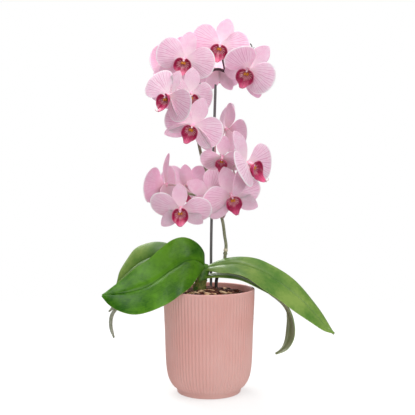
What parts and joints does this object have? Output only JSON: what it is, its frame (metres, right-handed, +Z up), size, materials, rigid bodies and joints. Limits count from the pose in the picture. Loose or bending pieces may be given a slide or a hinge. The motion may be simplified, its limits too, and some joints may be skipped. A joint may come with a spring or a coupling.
{
  "type": "potted orchid",
  "caption": "Moth orchid in bloom on one arching, staked flower spike, with strap leaves and aerial roots, planted in bark in a ribbed round plastic cover pot.",
  "frame": {"origin": "centre of the pot's flat bottom, where it rests", "axes": "+Z up the pot and the flower spike, -Y towards the plant's best side, which most blooms face, +X to the right of a viewer who looks at that side"},
  "size_m": [0.3135, 0.1674, 0.5112],
  "materials": {
    "pot": "satin pink moulded plastic",
    "bark": "rough dry bark",
    "stem": "green stem with dry leaf bases",
    "stake": "dark grey plastic",
    "spike": "smooth olive plant stem",
    "root": "grey-green root skin",
    "leaf": "glossy waxy leaf",
    "bloom": "soft pink petal",
    "lip": "waxy magenta lip"
  },
  "bodies": {
    "root": {"pot": "pot", "bark": "bark", "stem_base": "stem", "stake": "stake", "flower_spike": "spike", "aerial_root_long": "root", "aerial_root_short": "root", "leaf_front_left": "leaf", "leaf_back_left": "leaf", "leaf_right_long": "leaf", "leaf_right_hanging": "leaf", "bloom_01": "bloom", "bloom_02": "bloom", "bloom_03": "bloom", "bloom_04": "bloom", "bloom_05": "bloom", "bloom_06": "bloom", "bloom_07": "bloom", "bloom_08": "bloom", "bloom_09": "bloom", "bloom_10": "bloom", "bloom_11": "bloom", "bloom_12": "bloom", "bloom_13": "bloom", "bloom_14": "bloom", "bloom_15": "bloom", "bloom_16": "bloom", "lip_01": "lip", "lip_02": "lip", "lip_03": "lip", "lip_04": "lip", "lip_05": "lip", "lip_06": "lip", "lip_07": "lip", "lip_08": "lip", "lip_09": "lip", "lip_10": "lip", "lip_11": "lip", "lip_12": "lip", "lip_13": "lip", "lip_14": "lip", "lip_15": "lip", "lip_16": "lip"}
  },
  "joints": []
}
